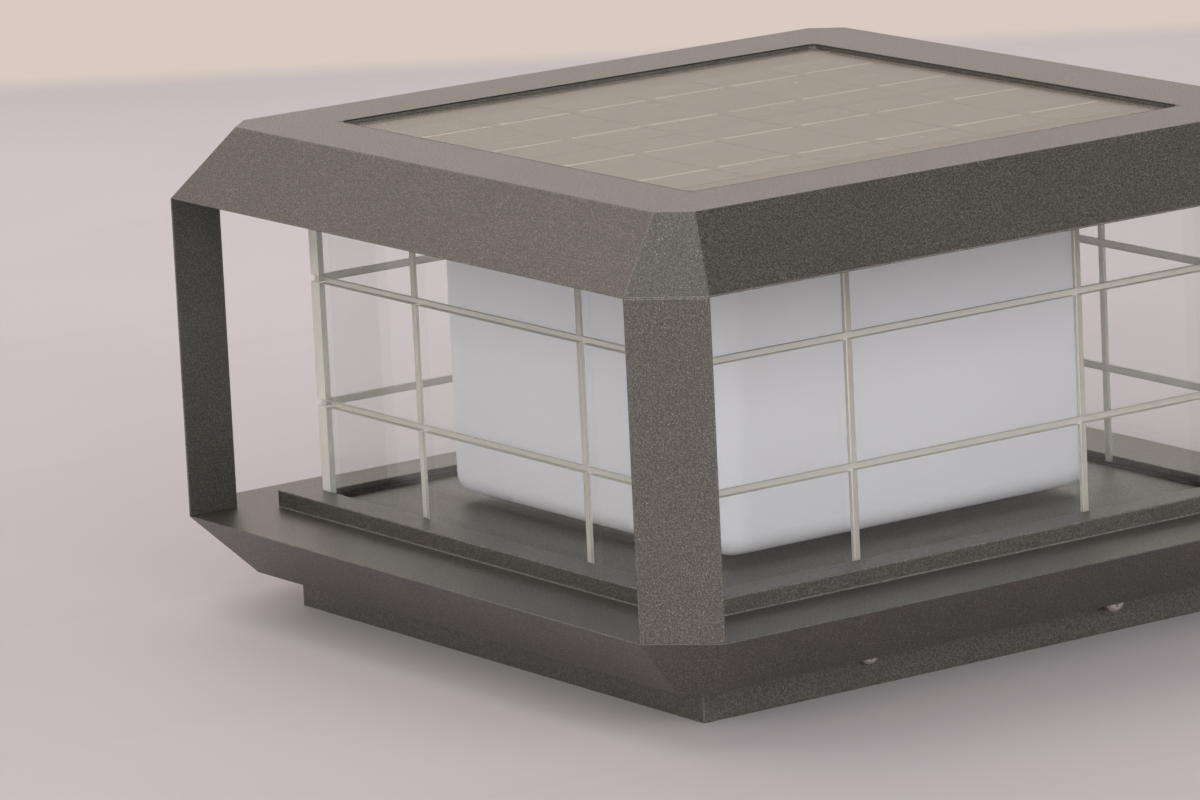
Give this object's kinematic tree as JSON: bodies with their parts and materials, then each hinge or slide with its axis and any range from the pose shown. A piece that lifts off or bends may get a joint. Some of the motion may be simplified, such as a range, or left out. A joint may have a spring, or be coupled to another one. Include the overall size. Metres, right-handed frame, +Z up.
{
  "type": "deck post cap light",
  "caption": "Square solar post cap light: bevelled metal cap and tray on corner posts, grooved clear box round a white diffuser, collar with clamp screws below.",
  "frame": {"origin": "centre of the collar's foot, on the plane that the light rests on", "axes": "+Z up, +X along the front face towards its right end, -Y out of the front face, which has two clamp screws"},
  "size_m": [0.3, 0.3, 0.1676],
  "materials": {
    "powder_coat": "fine-textured powder coat, dark bronze grey with a light sparkle",
    "inner_sheet": "powder coat, satin",
    "bare_aluminium": "mill finish",
    "zinc_steel": "bright zinc plate",
    "stainless": "bright stainless steel",
    "seal_rubber": "matt",
    "clear_acrylic": "polished clear acrylic with satin-milled grooves",
    "milk_diffuser": "milk white, semi-gloss",
    "sealing_tape": "matt foam tape",
    "backsheet": "black laminate",
    "silicon": "anti-reflection coated silicon, blue black",
    "tinned_copper": "tinned ribbon",
    "solar_glass": "clear flat glass",
    "white_plastic": "moulded, satin",
    "black_plastic": "moulded, satin",
    "battery_sleeve": "plain shrink sleeve",
    "circuit_board": "solder mask",
    "board_parts": "moulded",
    "led_board_white": "white solder mask",
    "led_phosphor": "yellow phosphor",
    "lead_sheath": "satin PVC",
    "button_rubber": "satin"
  },
  "bodies": {
    "lamp": {"base_tray": "powder_coat", "mounting_collar": "powder_coat", "corner_post_1": "powder_coat", "corner_post_2": "powder_coat", "corner_post_3": "powder_coat", "corner_post_4": "powder_coat", "top_cap": "powder_coat", "cap_plate": "inner_sheet", "chassis_plate": "bare_aluminium", "flange_screws": "zinc_steel", "plate_screws": "zinc_steel", "chassis_screws": "zinc_steel", "box_screws": "zinc_steel", "clamp_insert_1": "zinc_steel", "clamp_insert_2": "zinc_steel", "clamp_insert_3": "zinc_steel", "clamp_insert_4": "zinc_steel", "box_gasket_lower": "seal_rubber", "box_gasket_upper": "seal_rubber", "diffuser_gasket": "seal_rubber", "lead_grommets": "seal_rubber", "clear_panel_front": "clear_acrylic", "clear_panel_right": "clear_acrylic", "clear_panel_rear": "clear_acrylic", "clear_panel_left": "clear_acrylic", "diffuser": "milk_diffuser", "solar_tape": "sealing_tape", "solar_backsheet": "backsheet", "solar_cells": "silicon", "cell_ribbons": "tinned_copper", "solar_glass": "solar_glass", "control_box": "white_plastic", "battery_holder": "black_plastic", "battery_cells": "battery_sleeve", "driver_board": "circuit_board", "driver_parts": "board_parts", "led_board": "led_board_white", "led_chips": "led_phosphor", "solar_lead": "lead_sheath", "switch_lead": "lead_sheath", "led_lead": "lead_sheath", "switch_housing": "black_plastic", "switch_nut": "zinc_steel"},
    "clamp_1": {"clamp_screw_1": "stainless"},
    "clamp_2": {"clamp_screw_2": "stainless"},
    "clamp_3": {"clamp_screw_3": "stainless"},
    "clamp_4": {"clamp_screw_4": "stainless"},
    "button": {"switch_button": "button_rubber"}
  },
  "joints": [
    {"name": "clamp_screw_1_travel", "type": "slide", "parent": "lamp", "child": "clamp_1", "axis": [0, -1, 0], "range_m": [0, 0.006]},
    {"name": "clamp_screw_2_travel", "type": "slide", "parent": "lamp", "child": "clamp_2", "axis": [0, -1, 0], "range_m": [-0.0025, 0.0035]},
    {"name": "clamp_screw_3_travel", "type": "slide", "parent": "lamp", "child": "clamp_3", "axis": [0, 1, 0], "range_m": [0, 0.006]},
    {"name": "clamp_screw_4_travel", "type": "slide", "parent": "lamp", "child": "clamp_4", "axis": [0, 1, 0], "range_m": [0, 0.006]},
    {"name": "switch_button_press", "type": "slide", "parent": "lamp", "child": "button", "axis": [0, 0, 1], "range_m": [0, 0.0015], "stiffness_N_per_m": 400, "springref_m": -0.002}
  ]
}
